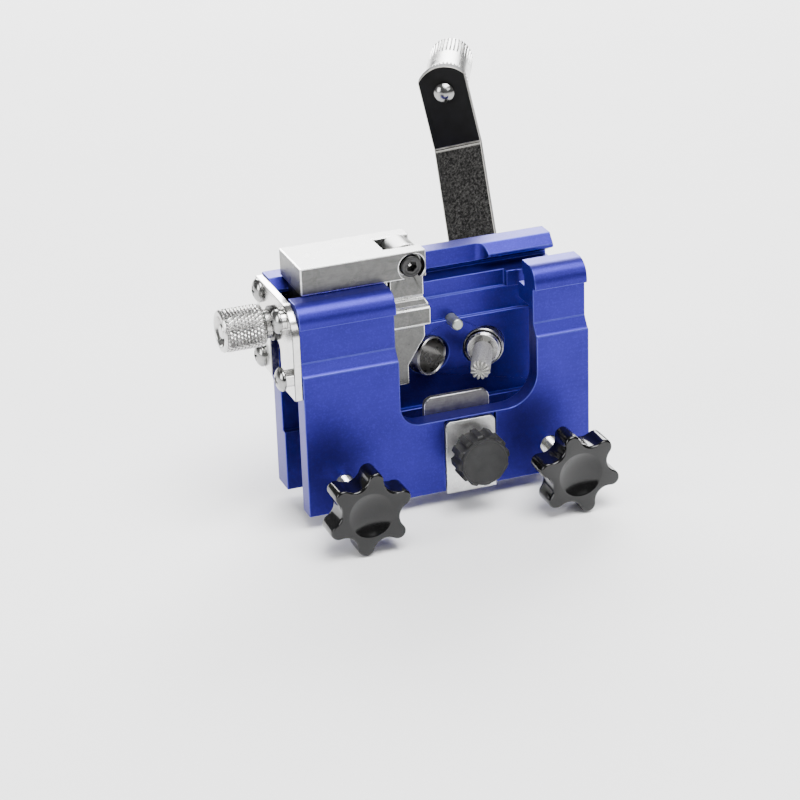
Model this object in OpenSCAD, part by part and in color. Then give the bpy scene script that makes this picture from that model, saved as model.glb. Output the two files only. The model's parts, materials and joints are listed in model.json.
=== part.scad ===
// Hand-cranked sharpening jig that clamps over a chainsaw's guide bar.
// X runs along the bar, +Y points to the crank side, +Z is up.
// The origin is the middle of the bar's seat, at the lower edge of the body.

/* [Body] */
// Length of the body along the bar
body_l = 76; // [72:1:90]
// Height of the body
body_h = 55.5; // [54.5:0.5:60]
// Thickness of the front wall
front_wall_t = 5; // [4.5:0.25:6]
// Thickness of the back wall beside the chain
back_wall_t = 5.5; // [4.5:0.25:7]
// How far the upper back stands out behind the lower back
back_step = 5.1; // [4.5:0.1:7]
// Height at which the thicker upper back starts
back_step_z = 27.5; // [22:0.5:29]
// Height of the step that runs along the front face
ridge_z = 37.6; // [36:0.2:39]
// Depth of that step
ridge_in = 2.2; // [1.2:0.1:2.4]
// Height of the sloped band at that step
ridge_h = 3; // [2:0.2:4]
// Thickness of the rounded shoulder along the front
shoulder_t = 5.7; // [5:0.1:6.2]
// Radius of the rounded shoulder
shoulder_r = 4.6; // [3:0.1:4.8]

/* [Bar and chain space] */
// Thickness of the guide bar that the slot takes
bar_t = 4.8; // [4.3:0.1:5.4]
// Gap in front of the bar that the clamp studs cross
bar_front_gap = 7.6; // [7:0.2:8.4]
// How far the back wall steps away to clear the chain
chain_relief = 1.6; // [1:0.1:2.4]
// Height of the pad that the bar is clamped against
bar_pad_h = 16; // [12:0.5:17]

/* [Guide slot] */
// Depth of the front jaw at the slot's opening
front_jaw = 8.8; // [8.6:0.1:9.4]
// Width of the slot's opening
slot_w = 12.8; // [12:0.1:13.4]
// Depth of the slot below the top
slot_depth = 6.7; // [6.4:0.1:7.2]
// Undercut below the front jaw
undercut_front = 1; // [0.6:0.1:1.3]
// Undercut below the back jaw
undercut_back = 5.2; // [3:0.1:5.6]
// Thickness of the jaws at the opening
jaw_t = 3.4; // [3:0.1:3.8]
// Thickness of the web under the slot
web_t = 4.3; // [3:0.1:5]
// Width of the channel through the web
web_channel_w = 7.6; // [7.2:0.1:7.8]

/* [Window] */
// Distance of the window from the left end
win_x = 25; // [24:0.5:27]
// Width of the window
win_w = 36.8; // [35:0.2:38]
// Height of the window's sill
win_z = 19.7; // [19:0.1:21]
// Radius of the window's lower left corner
win_r_left = 5.5; // [3:0.5:7]
// Radius of the window's lower right corner
win_r_right = 8.5; // [5:0.5:10]
// Length of the milled edge of the back jaw
lip_cut_l = 33; // [28:0.5:35]

/* [Slider block] */
// Gap from the body's left end to the block
block_x = 3.2; // [2.8:0.1:3.8]
// Width of the block
block_w = 16.4; // [16:0.1:18]
// Height of the block above the body
block_h = 7; // [6.8:0.1:9]
// Running gap between the block and the body
slide_gap = 0.25; // [0.2:0.05:0.35]
// Length of the threaded lug under the block
lug_l = 16; // [12:0.5:17]
// Travel of the block to the left
travel_left = 2; // [1:0.1:2]

/* [Pawl] */
// Distance from the pivot to the block's right end
pivot_inset = 3.7; // [3.4:0.1:4.2]
// Gap between the pawl's hollow edge and the left sleeve
pawl_clear = 1.5; // [1.5:0.1:3]
// Radius of the pawl's hub
pawl_hub_r = 4.5; // [4:0.1:4.6]
// Thickness of the pawl's hub
pawl_t = 7.6; // [7:0.1:7.8]
// Thickness of the pawl's blade
pawl_blade_t = 2; // [1.6:0.1:2.2]
// How far the pawl's tip reaches below the cutter's axis
pawl_below = 4.3; // [3.8:0.1:5.2]
// Width of the pawl's tip
pawl_tip_w = 4.6; // [3.6:0.1:5.2]
// Diameter of the pivot screw
pivot_d = 3; // [2.5:0.1:3.5]

/* [End plate] */
// Thickness of the end plate
plate_t = 2; // [1.5:0.1:3]
// Height of the plate's feet above the body's lower edge
plate_foot_z = 31.6; // [30:0.2:33]
// Radius of the plate's upper front corner
plate_corner_r = 7.5; // [5:0.5:8]
// Diameter of the plate screws
plate_screw_d = 3; // [2.5:0.1:3]
// Head diameter of the plate screws
plate_head_d = 5.6; // [5:0.1:6]

/* [Adjuster] */
// Diameter of the lead screw
lead_d = 5; // [4:0.1:5.2]
// Depth of the lead screw's axis below the body's top
lead_drop = 8.3; // [8.1:0.1:8.5]
// Diameter of the knurled knob
adjuster_d = 10.8; // [9:0.2:14]
// Length of the knurled knob
adjuster_l = 11; // [8:0.5:16]
// Length of the neck between the knob and the washer
adjuster_neck_l = 1.9; // [1:0.1:4]

/* [Clamp knobs] */
// Distance of the left clamp stud from the left end
left_clamp_x = 9.5; // [8:0.5:12]
// Distance of the right clamp stud from the right end
right_clamp_inset = 11; // [9.5:0.5:14]
// Height of the clamp studs
clamp_z = 7.5; // [6:0.5:9]
// Diameter of the clamp studs
clamp_d = 5; // [4.5:0.5:6]
// Diameter over the lobes of the star knobs
star_d = 22; // [20:0.5:24]
// Thickness of the star knobs
star_t = 7.5; // [6:0.5:10]
// Bare length of stud between the wall and the knob
clamp_reach = 9.5; // [8:0.5:14]

/* [Height stop] */
// Distance between the centre knob and the right clamp stud
centre_inset = 21.5; // [19.5:0.5:23]
// Height of the centre knob
centre_z = 10.8; // [10:0.2:11.4]
// Width of the outer plate
height_plate_w = 13.4; // [12:0.2:15]
// Thickness of the outer plate
height_plate_t = 1.5; // [1:0.1:1.8]
// Diameter of the centre screw
centre_screw_d = 5; // [4:0.2:5]
// Diameter over the flutes of the centre knob
centre_knob_d = 14; // [12:0.5:16]
// Width of the chain rest
rest_w = 17.6; // [14:0.2:18]
// Thickness of the chain rest
rest_t = 1.5; // [1:0.1:2]
// Top of the chain rest
rest_z = 24; // [22:0.1:24.4]
// Travel of the stop upwards
stop_up = 0.3; // [0.1:0.1:0.4]
// Travel of the stop downwards
stop_down = 3; // [1:0.5:3]

/* [Spindle and burr] */
// Angle of the sleeves to the square line across the bar
burr_angle = 25; // [25:1:28]
// Distance of the right sleeve from the left end, at the back wall
right_bushing_x = 55; // [54.6:0.1:55.6]
// Distance between the two sleeves at the back wall
bushing_pitch = 15.2; // [14.8:0.1:15.6]
// Height of the sleeves' axes
burr_z = 29.6; // [29.2:0.1:30.2]
// Outer diameter of the sleeves
bushing_d = 10.4; // [10.2:0.1:10.8]
// Bore of the sleeves
bushing_bore_d = 9; // [8.6:0.1:9.2]
// How far the sleeves stand out of the back wall inside
bushing_proud = 1.6; // [1.2:0.1:2.2]
// Radial running clearance of the spindle
run_gap = 0.05; // [0.02:0.01:0.08]
// Diameter of the cutter
burr_d = 5.2; // [4.4:0.1:5.6]
// Length of the cutter that stands out of the spindle
burr_l = 14.4; // [12:0.2:16]
// Diameter of the cutter's shank
shank_d = 3; // [2.3:0.1:3.2]

/* [Crank] */
// Width of the crank arm
arm_w = 12.6; // [11:0.2:13]
// Thickness of the crank arm
arm_t = 3; // [2:0.1:3.2]
// Radius of the arm's upper end
arm_end_r = 8; // [7.5:0.1:9]
// Length of the arm above the handle's axis
arm_end_up = 6.9; // [6.6:0.1:7.4]
// Flat length at the arm's hub end
arm_flat = 7; // [6.5:0.1:8]
// Length of the slanted part of the arm
arm_leg = 41.3; // [34:0.1:48]
// Angle of the slanted part
arm_bend = 38; // [34:1:42]
// Length from the upper bend to the handle
arm_top = 15.6; // [12:0.2:20]
// Lean of the crank at rest
crank_lean = 11.8; // [0:0.2:20]
// Diameter of the handle
handle_d = 11.9; // [10:0.1:14]
// Length of the handle
handle_l = 27; // [22:1:36]
// Diameter of the handle's axle
axle_d = 4; // [3:0.2:5]

/* [Hidden] */
$fn = 96;

// Small distances that repeat
eps = 0.01;
over = 1;
seat = 0.02;
fit_gap = 0.05;
face_gap = 0.1;
part_gap = 0.2;
side_gap = 0.3;

// Planes across the bar, from the front face backwards
bar_front_y = front_wall_t + bar_front_gap;
pad_y = bar_front_y + bar_t;
bar_mid_y = pad_y - bar_t / 2;
inner_back_y = pad_y + chain_relief;
ledge_in = 1;
mid_back_y = inner_back_y + ledge_in;
web_cut_y = mid_back_y + ledge_in;
lower_back_y = inner_back_y + back_wall_t;
body_d = lower_back_y + back_step;

// Heights of the guide slot and the web
slot_back_y = front_jaw + slot_w;
slot_mid_y = front_jaw + slot_w / 2;
floor_z = body_h - slot_depth;
tip_z = body_h - jaw_t;
web_z = floor_z - web_t;
ledge_z = ridge_z + 0.6;
undercut_slope = 0.48;
rail_bevel = 2.2;
rail_nose = 0.8;
web_channel_stop = 8.2;
back_edge_r = 1;
shoulder_z = body_h - shoulder_t;
shoulder_y = ridge_in - 1.6;
roll_z = body_h - shoulder_r;

// Slider block
lead_z = body_h - lead_drop;
block_bottom = body_h + slide_gap;
block_top = block_bottom + block_h;
block_front_y = front_jaw - 0.8;
block_back_y = block_front_y + block_w;
pawl_hollow_x = 2.1;
left_sleeve_x = right_bushing_x - bushing_pitch;
sleeve_edge_x = left_sleeve_x + bushing_proud * sin(burr_angle) - bushing_d / 2 * cos(burr_angle);
pivot_x = sleeve_edge_x - pawl_clear - pawl_hollow_x;
block_l = pivot_x + pivot_inset - block_x;
pivot_z = block_bottom + block_h * 0.42;
pawl_front_y = block_front_y + 4.4;
pawl_slot_x = pivot_x - pawl_hub_r - 1.3;
foot_x = block_x + 1;
foot_l = pawl_slot_x - 0.4 - foot_x;
lug_w = web_channel_w - 2 * slide_gap;
lug_z = lead_z - lead_d / 2 - 1.3;
lug_x = foot_x + 1.8;
screw_head_d = pivot_d * 1.87;
screw_head_h = pivot_d * 0.8;
head_sink = 0.2;

// Pawl heights, measured down from its pivot
pawl_drop = pivot_z - burr_z + pawl_below;
pawl_step_z = -pawl_drop * 0.371;
pawl_blade_z = -pawl_drop * 0.533;
pawl_shoulder_z = -pawl_drop * 0.632;
pawl_heel = 5.2;
pawl_back_z = web_z + 1 - pivot_z;
pawl_flare = 1.7;

// Adjuster
collar_l = 1.8;
knob_floor_t = 2;
collar_r = lead_d / 2 + 1.1;
washer_t = 1;
washer_r = collar_r + 0.8;
lead_end_x = pawl_slot_x - travel_left - side_gap;
adjuster_x = -plate_t - washer_t - fit_gap;

// Clamp knobs
right_clamp_x = body_l - right_clamp_inset;
left_star_turn = 40;
right_star_turn = 17;
stud_play = 0.05;
stud_gap = 0.2;
star_boss_l = 2.6;
star_back_y = -clamp_reach - star_boss_l;
star_front_y = star_back_y - star_t;
star_lobes = 6;
star_lobe_r = star_d * 0.115;
star_core_r = star_d * 0.35;
star_step = 360 / star_lobes;
stud_buried = 4;

// Height stop
centre_x = right_clamp_x - centre_inset;
stop_channel_t = height_plate_t + face_gap;
height_plate_top = win_z - 0.9;
height_plate_bottom = -0.9;
centre_boss_l = 3;
centre_knob_t = 6.6;
centre_screw_y = -centre_boss_l - centre_knob_t + 2.6;
rest_front_y = front_wall_t + part_gap;
rest_back_y = bar_front_y - 1.6;
rest_foot_z = 3.5;
rest_shift = 1.6;
rest_corner = 2.4;
screw_end_gap = 1.4;
centre_flutes = 12;
centre_knob_turn = 8;

// Spindle stations, measured outwards along the axis from the back wall's inner face
nose_t = -bushing_proud - 1.2;
bushing_out_t = (body_d - inner_back_y) / cos(burr_angle) + bushing_d / 2 * tan(burr_angle) + 0.6;
spindle_r = bushing_bore_d / 2 - run_gap;
collar_out_r = spindle_r + 1.5;
thrust_t = bushing_out_t + 0.3;
thrust_l = 3;
arm_in_t = thrust_t + thrust_l;
arm_out_t = arm_in_t + arm_t;
square_w = 6;
stub_d = 5;
crank_washer_t = 1;
crank_nut_t = 4;
shank_l = arm_in_t - 1 - nose_t;
set_screw_r = 1;
set_t = thrust_t + thrust_l / 2;

// Crank arm, in its own side view
leg_rise = arm_leg * cos(arm_bend);
leg_out = arm_leg * sin(arm_bend);
grip_up = arm_flat + leg_rise + arm_top;
arm_mid = arm_t / 2;
mitre = arm_mid * tan(arm_bend / 2);
handle_washer_t = 0.6;
handle_bore_d = axle_d + 0.12;
head_recess = 4;
dome_bore_l = 1.6;

// Plate screws: place across the bar, height, and stand-off of the head
plate_screws = [
    [slot_back_y + 3.2, tip_z + 0.2, 0],
    [front_jaw - 2.8, tip_z - 0.9, 1.4],
    [front_wall_t / 2 + 0.1, ridge_z - 0.2, 2.2],
    [inner_back_y + 7, plate_foot_z + 2.9, 0]
];
plate_front_y = 0.6;
plate_back_y = body_d - 1;
plate_top_z = body_h - 0.6;
plate_hole_gap = 0.1;
arch_front_y = slot_mid_y - 4.4;
arch_back_y = slot_mid_y + 3.6;
arch_r = 2.5;
arch_top_z = lead_z - lead_d / 2 - 1.3;
plate_thread_l = 6;
plate_shank_r = plate_screw_d / 2 - part_gap;
spacer_wall = 0.9;
washer_max_t = 2;

// Pin between the sleeves
stop_pin_r = 1.5;
stop_pin_in = 9;
stop_pin_proud = 4;
stop_pin_edge = 0.3;
stop_pin_x = right_bushing_x - 0.55 * bushing_pitch;
stop_pin_z = burr_z + 8.4;

// Puts the model's origin at the middle of the bar's seat
module in_place() {
    translate([-body_l / 2, -bar_mid_y, 0]) children();
}

// A profile drawn in Y and Z, extruded along X
module along_x(x0, length) {
    translate([x0, 0, 0]) rotate([90, 0, 90]) linear_extrude(length) children();
}

// A shape drawn in X and Z, extruded along Y
module along_y(y0, length) {
    translate([0, y0 + length, 0]) rotate([90, 0, 0]) linear_extrude(length) children();
}

// A cylinder whose axis runs along +Y from its start
module pin_y(p, r, length) {
    translate(p) rotate([-90, 0, 0]) cylinder(r = r, h = length);
}

// A cylinder whose axis runs along +X from its start
module pin_x(p, r, length) {
    translate(p) rotate([0, 90, 0]) cylinder(r = r, h = length);
}

// Local frame of a sleeve: +Z outwards along the axis, -Y upwards
module spindle_frame() {
    translate([right_bushing_x, inner_back_y, burr_z]) rotate([0, 0, -burr_angle])
        rotate([-90, 0, 0]) children();
}

module left_sleeve_frame() {
    translate([right_bushing_x - bushing_pitch, inner_back_y, burr_z])
        rotate([0, 0, burr_angle]) rotate([-90, 0, 0]) children();
}

// Outline of the extrusion, without its hollows
module body_outline() {
    polygon([
        [0, 0],
        [lower_back_y, 0],
        [lower_back_y, back_step_z],
        [body_d, back_step_z + back_step * 0.8],
        [body_d, body_h - back_edge_r],
        [body_d - back_edge_r, body_h],
        [shoulder_y + shoulder_r, body_h],
        [shoulder_y, roll_z],
        [shoulder_y, shoulder_z],
        [ridge_in, shoulder_z],
        [ridge_in, ridge_z + ridge_h],
        [ridge_in * 0.8, ridge_z + ridge_h * 0.75],
        [ridge_in * 0.3, ridge_z + ridge_h * 0.2],
        [0, ridge_z]
    ]);
    translate([shoulder_y + shoulder_r, roll_z]) intersection() {
        circle(shoulder_r);
        translate([-shoulder_r - over, 0]) square(shoulder_r + 2 * over);
    }
    translate([body_d - back_edge_r, body_h - back_edge_r]) circle(back_edge_r);
}

// Space for the bar and the chain
module chain_outline() {
    polygon([
        [front_wall_t, -over],
        [pad_y, -over],
        [pad_y, bar_pad_h],
        [inner_back_y, bar_pad_h],
        [inner_back_y, ledge_z],
        [mid_back_y, ledge_z],
        [mid_back_y, web_z],
        [front_wall_t, web_z]
    ]);
}

// Stopped slot through the web, in which the block's lug slides
module web_channel() {
    r = web_channel_w / 2;
    end_x = body_l - web_channel_stop - r;
    h = web_t + 2 * over;
    translate([-over, slot_mid_y - r, web_z - over]) cube([end_x + over, web_channel_w, h]);
    translate([end_x, slot_mid_y, web_z - over]) cylinder(r = r, h = h);
}

// Undercut slot that guides the block, grown or shrunk by a gap
module slot_outline(gap) {
    y0 = front_jaw - undercut_front + gap;
    y1 = slot_back_y + undercut_back - gap;
    y2 = slot_back_y - gap;
    y3 = front_jaw + gap;
    drop = gap * 1.2;
    polygon([
        [y0, floor_z + gap],
        [y1, floor_z + gap],
        [y1, tip_z - undercut_slope * (y1 - y2) - drop],
        [y2, tip_z - drop],
        [y2, body_h + over],
        [y3, body_h + over],
        [y3, tip_z - drop],
        [y0, tip_z - undercut_slope * (y3 - y0) - drop]
    ]);
}

// Rounded window seen from the front
module window_outline() {
    z1 = body_h + over;
    x1 = win_x + win_w;
    difference() {
        translate([win_x, win_z]) square([win_w, z1 - win_z]);
        translate([win_x - eps, win_z - eps]) square(win_r_left + eps);
        translate([x1 - win_r_right, win_z - eps]) square(win_r_right + eps);
    }
    translate([win_x + win_r_left, win_z + win_r_left]) intersection() {
        circle(win_r_left);
        translate([-win_r_left, -win_r_left]) square(win_r_left + eps);
    }
    translate([x1 - win_r_right, win_z + win_r_right]) intersection() {
        circle(win_r_right);
        translate([-eps, -win_r_right]) square(win_r_right + eps);
    }
}

// Milled edge of the back jaw, with a round run-out at its right end
module lip_cut() {
    depth = 2.8;
    run_r = 3;
    end_x = win_x + lip_cut_l - run_r;
    end_y = slot_back_y + depth - run_r;
    translate([win_x, slot_back_y - eps, floor_z + 1]) cube([lip_cut_l - run_r, depth, slot_depth]);
    intersection() {
        translate([end_x, end_y, floor_z + 1]) cylinder(r = run_r, h = slot_depth);
        translate([win_x, slot_back_y - eps, floor_z])
            cube([lip_cut_l + over, depth + eps, slot_depth + 2 * over]);
    }
}

module body() {
    channel_w = height_plate_w + 2 * side_gap;
    channel_top = height_plate_top + stop_up + part_gap;
    slot_r = centre_screw_d / 2 + part_gap;
    slot_low = centre_z - stop_down;
    sleeve_cut = bushing_out_t + 8 * over;
    color("royalblue") difference() {
        along_x(0, body_l) body_outline();
        along_x(-over, body_l + 2 * over) chain_outline();
        along_x(-over, body_l + 2 * over) slot_outline(0);
        web_channel();
        // the rail's sharp upper front edge is bevelled
        along_x(-over, body_l + 2 * over) polygon([
            [slot_back_y - eps, tip_z + rail_nose],
            [slot_back_y + rail_bevel, body_h + eps],
            [slot_back_y - eps, body_h + eps]
        ]);
        along_y(-over, front_jaw + 2 * over) window_outline();
        translate([win_x, front_wall_t - eps, web_z - eps]) cube([win_w, web_cut_y - front_wall_t, body_h]);
        lip_cut();
        // channel of the outer plate, and the slot that its screw slides in
        translate([centre_x - channel_w / 2, -over, -over])
            cube([channel_w, stop_channel_t + over, channel_top + over]);
        for (z = [slot_low, centre_z + stop_up]) pin_y([centre_x, 0, z], slot_r, front_wall_t + over);
        translate([centre_x - slot_r, 0, slot_low])
            cube([2 * slot_r, front_wall_t + over, stop_down + stop_up]);
        // threaded holes of the clamp studs
        for (x = [left_clamp_x, right_clamp_x])
            pin_y([x, -over, clamp_z], clamp_d / 2, front_wall_t + 2 * over);
        // seats of the two sleeves and the pin
        spindle_frame() translate([0, 0, -5 * over]) cylinder(r = bushing_d / 2, h = sleeve_cut);
        left_sleeve_frame() translate([0, 0, -5 * over]) cylinder(r = bushing_d / 2, h = sleeve_cut);
        pin_y([stop_pin_x, inner_back_y - stop_pin_proud, stop_pin_z], stop_pin_r, stop_pin_in + stop_pin_proud);
        // threaded holes of the end plate
        for (s = plate_screws) pin_x([-over, s[0], s[1]], plate_shank_r, plate_thread_l + 1 + over);
    }
}

module end_plate_outline() {
    height = plate_top_z - plate_foot_z;
    corner_y = plate_front_y + plate_corner_r;
    arch_w = arch_back_y - arch_front_y;
    arch_h = arch_top_z - plate_foot_z;
    difference() {
        union() {
            translate([plate_front_y, plate_foot_z])
                square([plate_back_y - plate_front_y, height - plate_corner_r]);
            translate([corner_y, plate_foot_z]) square([plate_back_y - corner_y, height]);
            translate([corner_y, plate_top_z - plate_corner_r]) circle(plate_corner_r);
        }
        translate([arch_front_y, plate_foot_z - over]) square([arch_w, arch_h - arch_r + over]);
        translate([arch_front_y + arch_r, plate_foot_z - over])
            square([arch_w - 2 * arch_r, arch_h + over]);
        for (y = [arch_front_y + arch_r, arch_back_y - arch_r])
            translate([y, arch_top_z - arch_r]) circle(arch_r);
        for (s = plate_screws) translate([s[0], s[1]]) circle(plate_screw_d / 2 + plate_hole_gap);
        translate([slot_mid_y, lead_z]) circle(lead_d / 2 + plate_hole_gap);
    }
}

module end_plate() {
    color("gainsboro") along_x(-plate_t, plate_t) end_plate_outline();
}

// Pan head with its shank, pointing along +X
module plate_screw(stand_off) {
    head_r = plate_head_d / 2;
    rim_h = plate_head_d * 0.18;
    dome_h = plate_head_d * 0.17;
    dome_r = (head_r * head_r + dome_h * dome_h) / (2 * dome_h);
    rotate([0, 90, 0]) rotate_extrude() {
        square([plate_shank_r, plate_t + stand_off + plate_thread_l]);
        translate([0, -rim_h]) square([head_r, rim_h]);
        intersection() {
            translate([0, -rim_h - dome_h - over]) square([head_r, dome_h + over + rim_h / 2]);
            translate([0, dome_r - rim_h - dome_h]) circle(dome_r);
        }
    }
}

module end_plate_screws() {
    color("silver") for (s = plate_screws) translate([-plate_t - s[2], s[0], s[1]]) plate_screw(s[2]);
}

module end_plate_spacers() {
    outer = plate_screw_d / 2 + spacer_wall;
    color("gray") for (s = plate_screws) if (s[2] > 0)
        translate([-plate_t - s[2], s[0], s[1]]) rotate([0, 90, 0]) difference() {
            cylinder(r = outer, h = s[2], $fn = s[2] > washer_max_t ? 6 : $fn);
            translate([0, 0, -over]) cylinder(r = plate_shank_r, h = s[2] + 2 * over);
        }
}

// Sleeve in its own frame
module bushing() {
    chamfer = 0.35;
    length = bushing_out_t + bushing_proud;
    bore = bushing_bore_d / 2;
    outer = bushing_d / 2;
    translate([0, 0, -bushing_proud]) rotate_extrude() polygon([
        [bore + chamfer, 0],
        [outer - chamfer, 0],
        [outer, chamfer],
        [outer, length - chamfer],
        [outer - chamfer, length],
        [bore, length],
        [bore, chamfer]
    ]);
}

module left_bushing() {
    color("dimgray") left_sleeve_frame() bushing();
}

module right_bushing() {
    color("dimgray") spindle_frame() bushing();
}

module stop_pin() {
    length = stop_pin_proud + stop_pin_in;
    color("silver") translate([stop_pin_x, inner_back_y - stop_pin_proud, stop_pin_z]) rotate([-90, 0, 0])
        rotate_extrude() polygon([
            [0, 0],
            [stop_pin_r - stop_pin_edge, 0],
            [stop_pin_r, stop_pin_edge],
            [stop_pin_r, length],
            [0, length]
        ]);
}

module slider_block() {
    recess_r = screw_head_d / 2 + 2 * side_gap;
    lug_h = floor_z + slide_gap - lug_z + eps;
    slot_y0 = pawl_front_y - part_gap;
    slot_w_pawl = pawl_t + 2 * part_gap;
    color("lightgray") difference() {
        union() {
            translate([block_x, block_front_y, block_bottom]) cube([block_l, block_w, block_h]);
            along_x(foot_x, foot_l) intersection() {
                slot_outline(slide_gap);
                translate([0, floor_z]) square([body_d, block_bottom - floor_z + eps]);
            }
            translate([lug_x, slot_mid_y - lug_w / 2, lug_z]) cube([lug_l, lug_w, lug_h]);
        }
        translate([pawl_slot_x, slot_y0, block_bottom - over])
            cube([block_l, slot_w_pawl, block_h + 2 * over]);
        // seat of the pivot screw's head and its threaded hole
        pin_y([pivot_x, block_front_y - over, pivot_z], recess_r, over + screw_head_h + head_sink);
        pin_y([pivot_x, block_front_y, pivot_z], pivot_d / 2 + seat, block_w - 1);
        pin_x([foot_x - over, slot_mid_y, lead_z], lead_d / 2 + fit_gap, foot_l + 2 * over);
    }
}

module pawl_pivot_screw() {
    socket_r = pivot_d * 0.48;
    head_y = block_front_y + head_sink;
    shank_l = block_w - screw_head_h - 8 * head_sink;
    color("dimgray") difference() {
        union() {
            pin_y([pivot_x, head_y, pivot_z], screw_head_d / 2, screw_head_h);
            pin_y([pivot_x, head_y + screw_head_h - eps, pivot_z], pivot_d / 2, shank_l);
        }
        translate([pivot_x, head_y - over, pivot_z]) rotate([-90, 0, 0])
            cylinder(r = socket_r, h = over + screw_head_h * 0.6, $fn = 6);
    }
}

// Front view of the pawl, measured from its pivot
module pawl_outline() {
    left = -pawl_hub_r;
    right = pawl_hub_r;
    blade_right = right + 0.2;
    tip_right = left + pawl_tip_w;
    step_top = 2.2;
    step_low = 0.8;
    circle(pawl_hub_r);
    polygon([
        [left, 0],
        [left, -pawl_drop],
        [tip_right, -pawl_drop],
        [tip_right, -pawl_drop + pawl_heel],
        [blade_right, pawl_shoulder_z],
        [blade_right, pawl_blade_z],
        [right + pawl_flare, pawl_blade_z],
        [right + pawl_flare, pawl_step_z - step_low],
        [right, pawl_step_z + step_top],
        [right, 0]
    ]);
}

module pawl() {
    hollow_r = 9;
    groove = 0.8;
    groove_in = 0.4;
    grooves = [1.9, -0.9];
    width = 4 * pawl_hub_r;
    low_z = -pawl_drop - over;
    color("lightgray") translate([pivot_x, pawl_front_y, pivot_z]) difference() {
        along_y(0, pawl_t) pawl_outline();
        pin_y([0, -over, 0], pivot_d / 2 + fit_gap, pawl_t + 2 * over);
        // the blade is thinner than the hub, so that it hangs clear of the back wall
        translate([-width / 2, pawl_blade_t, low_z]) cube([width, pawl_t, pawl_back_z - low_z]);
        // grooves across the stepped part
        for (z = grooves) translate([-width / 2, -over, pawl_step_z + z])
            cube([width, over + groove_in, groove]);
        translate([-width / 2, -over, low_z]) cube([width, over + groove_in, pawl_blade_z - low_z]);
        // the blade's right edge is hollow, so that it clears the left sleeve
        pin_y([hollow_r + pawl_hollow_x, -over, -pawl_drop + pawl_heel], hollow_r, pawl_t + 2 * over);
    }
}

module lead_screw() {
    start = adjuster_x - adjuster_neck_l - adjuster_l + knob_floor_t;
    color("silver") pin_x([start, slot_mid_y, lead_z], lead_d / 2, lead_end_x - start);
}

module adjuster_knob() {
    r = adjuster_d / 2;
    chamfer = 0.7;
    dish_edge = 1.7;
    dish_depth = 0.8;
    full_l = adjuster_l + adjuster_neck_l;
    start = adjuster_x - full_l;
    color("silver") translate([start, slot_mid_y, lead_z]) rotate([0, 90, 0])
        rotate_extrude() difference() {
            polygon([
                [0, 0],
                [r - chamfer, 0],
                [r, chamfer],
                [r, adjuster_l - chamfer],
                [r - chamfer, adjuster_l],
                [collar_r, adjuster_l],
                [collar_r, full_l],
                [0, full_l]
            ]);
            translate([-eps, knob_floor_t]) square([lead_d / 2 + eps, full_l]);
            translate([-eps, -over]) square([r - dish_edge, over + dish_depth]);
        }
}

module adjuster_collar() {
    color("gray") pin_ring([part_gap, slot_mid_y, lead_z], collar_r, lead_d / 2, collar_l);
}

module adjuster_washer() {
    bore_r = lead_d / 2 + plate_hole_gap;
    color("dimgray") pin_ring([-plate_t - washer_t, slot_mid_y, lead_z], washer_r, bore_r, washer_t);
}

// Ring whose axis runs along +X
module pin_ring(p, outer, inner, length) {
    difference() {
        pin_x(p, outer, length);
        pin_x([p[0] - over, p[1], p[2]], inner, length + 2 * over);
    }
}

module clamp_stud(x) {
    r = clamp_d / 2 - stud_play;
    point = 1.2;
    length = bar_front_y - stud_gap + clamp_reach + star_boss_l + stud_buried;
    translate([x, bar_front_y - stud_gap, clamp_z]) rotate([90, 0, 0]) rotate_extrude() polygon([
        [0, 0],
        [r - point, 0],
        [r, point],
        [r, length],
        [0, length]
    ]);
}

module left_clamp_stud() {
    color("silver") clamp_stud(left_clamp_x);
}

module right_clamp_stud() {
    color("silver") clamp_stud(right_clamp_x);
}

// Outline of a knob: round lobes that run into round valleys
module star_outline() {
    c = cos(star_step / 2);
    out = star_d / 2 - star_lobe_r;
    rise = out * out + star_core_r * star_core_r - 2 * out * star_core_r * c - star_lobe_r * star_lobe_r;
    valley_r = rise / (2 * (out * c - star_core_r + star_lobe_r));
    valley_out = star_core_r + valley_r;
    difference() {
        union() {
            polygon([for (i = [0:2 * star_lobes - 1]) let (r = i % 2 == 0 ? out : valley_out)
                [r * cos(i * star_step / 2), r * sin(i * star_step / 2)]]);
            for (i = [0:star_lobes - 1]) rotate(i * star_step) translate([out, 0]) circle(star_lobe_r);
        }
        for (i = [0:star_lobes - 1])
            rotate((i + 0.5) * star_step) translate([valley_out, 0]) circle(valley_r + seat);
    }
}

module star_knob(x, turn) {
    boss_r = star_d * 0.24;
    bore_r = clamp_d / 2 - stud_play + seat;
    dish_r = star_d * 0.52;
    dish_depth = 1.6;
    edge = 0.8;
    difference() {
        union() {
            translate([x, star_back_y, clamp_z]) rotate([90, turn, 0])
                linear_extrude(star_t) star_outline();
            pin_y([x, star_back_y - over, clamp_z], boss_r, star_boss_l + over);
        }
        translate([x, star_front_y - dish_r + dish_depth, clamp_z]) sphere(dish_r);
        pin_y([x, star_back_y - stud_buried, clamp_z], bore_r, stud_buried + star_boss_l + over);
        // the front edge is taken back round the lobes
        translate([x, star_front_y, clamp_z]) rotate([-90, 0, 0]) rotate_extrude() polygon([
            [star_d / 2 - edge - over, -over],
            [star_d / 2 + over, -over],
            [star_d / 2 + over, edge + over]
        ]);
    }
}

module left_star_knob() {
    color("#202022") star_knob(left_clamp_x, left_star_turn);
}

module right_star_knob() {
    color("#202022") star_knob(right_clamp_x, right_star_turn);
}

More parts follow.
